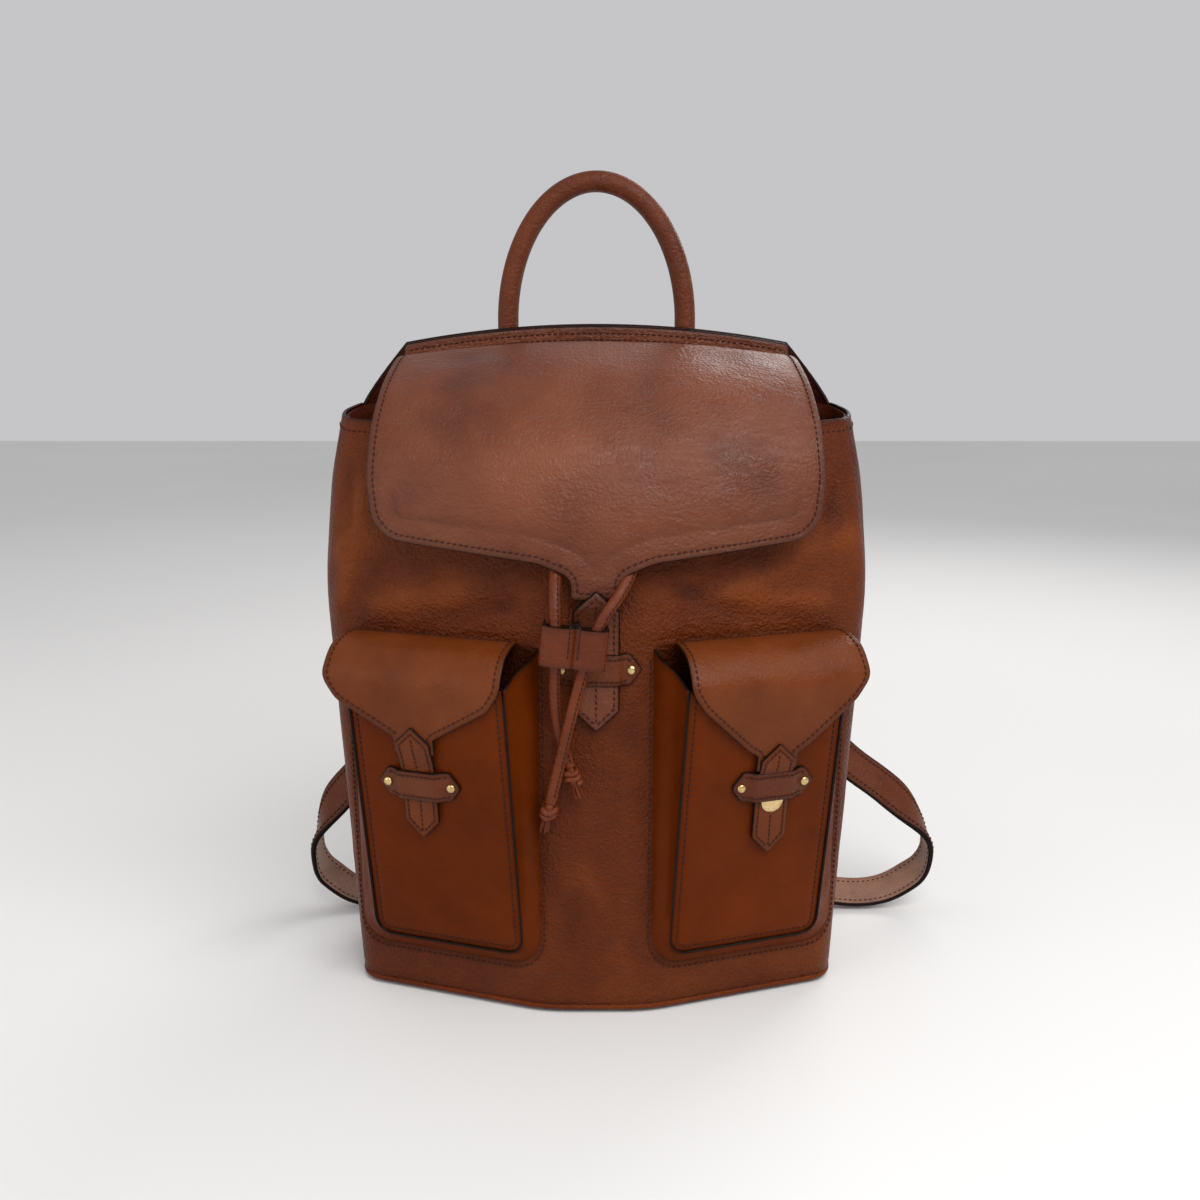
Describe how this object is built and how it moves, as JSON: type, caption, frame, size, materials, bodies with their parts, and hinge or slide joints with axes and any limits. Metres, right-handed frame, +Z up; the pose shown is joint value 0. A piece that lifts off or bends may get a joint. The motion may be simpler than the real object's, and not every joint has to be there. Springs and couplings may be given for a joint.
{
  "type": "backpack",
  "caption": "Leather drawstring backpack with a top flap, front pockets under strap-and-keeper flaps, a rolled top handle and shoulder straps.",
  "frame": {"origin": "middle of the base's underside, on the floor", "axes": "+Z up, front faces -Y, +X to the right in the front view"},
  "size_m": [0.4018, 0.1796, 0.4552],
  "materials": {
    "leather": "semi-gloss cognac leather",
    "flap_leather": "semi-gloss red-brown leather",
    "lining": "matt olive woven lining",
    "brass": "polished pale brass",
    "board": "matt",
    "core": "matt cord core"
  },
  "bodies": {
    "bag": {"back_panel": "leather", "base_board": "board", "base_panel": "leather", "base_piping": "leather", "centre_keeper": "leather", "cord_knot_left": "leather", "cord_knot_right": "leather", "drawstring_end_left": "leather", "drawstring_end_right": "leather", "drawstring_eyelets": "brass", "drawstring_loop": "leather", "front_panel": "leather", "handle_root_left": "leather", "handle_root_right": "leather", "keeper_rivets": "brass", "lower_strap_left": "leather", "lower_strap_right": "leather", "main_lining": "lining", "mouth_facing": "leather", "pocket_back_left": "lining", "pocket_back_right": "lining", "pocket_front_left": "leather", "pocket_front_right": "leather", "pocket_gusset_left": "leather", "pocket_gusset_right": "leather", "pocket_keeper_left": "leather", "pocket_keeper_right": "leather", "pocket_snap_posts": "brass", "shoulder_strap_left": "leather", "shoulder_strap_right": "leather", "side_panel_left": "leather", "side_panel_right": "leather", "strap_anchor": "leather", "strap_foot_left": "leather", "strap_foot_right": "leather", "strap_ring_left": "brass", "strap_ring_right": "brass", "top_band": "leather"},
    "flap": {"main_flap": "flap_leather", "main_flap_lining": "lining", "main_flap_tongue": "flap_leather"},
    "handle": {"handle_cover": "leather", "handle_core": "core"},
    "slider": {"cord_slider": "leather"},
    "pocket_flap_left": {"pocket_flap_left": "leather", "pocket_flap_lining_left": "lining", "pocket_tongue_left": "leather", "pocket_snap_cap_left": "brass"},
    "pocket_flap_right": {"pocket_flap_right": "leather", "pocket_flap_lining_right": "lining", "pocket_tongue_right": "leather", "pocket_snap_cap_right": "brass"}
  },
  "joints": [
    {"name": "flap_hinge", "type": "hinge", "parent": "bag", "child": "flap", "pos_m": [0, 0.033, 0.361], "axis": [-1, 0, 0], "range_deg": [0, 90], "deforming": ["main_flap_tongue"]},
    {"name": "pocket_flap_left_hinge", "type": "hinge", "parent": "bag", "child": "pocket_flap_left", "pos_m": [-0.08612, -0.044, 0.209], "axis": [-0.9455, 0.3256, 0], "range_deg": [0, 85], "deforming": ["pocket_tongue_left", "pocket_snap_cap_left"]},
    {"name": "pocket_flap_right_hinge", "type": "hinge", "parent": "bag", "child": "pocket_flap_right", "pos_m": [0.08612, -0.044, 0.209], "axis": [-0.9455, -0.3256, 0], "range_deg": [0, 85], "deforming": ["pocket_tongue_right", "pocket_snap_cap_right"]},
    {"name": "slider_slide", "type": "slide", "parent": "bag", "child": "slider", "axis": [0, 0, -1], "range_m": [0, 0.045], "deforming": ["drawstring_end_left", "drawstring_end_right"]},
    {"name": "handle_lean", "type": "hinge", "parent": "bag", "child": "handle", "pos_m": [0, 0.049, 0.373], "axis": [-1, 0, 0], "range_deg": [-45, 60], "stiffness_Nm_per_rad": 0.15}
  ]
}
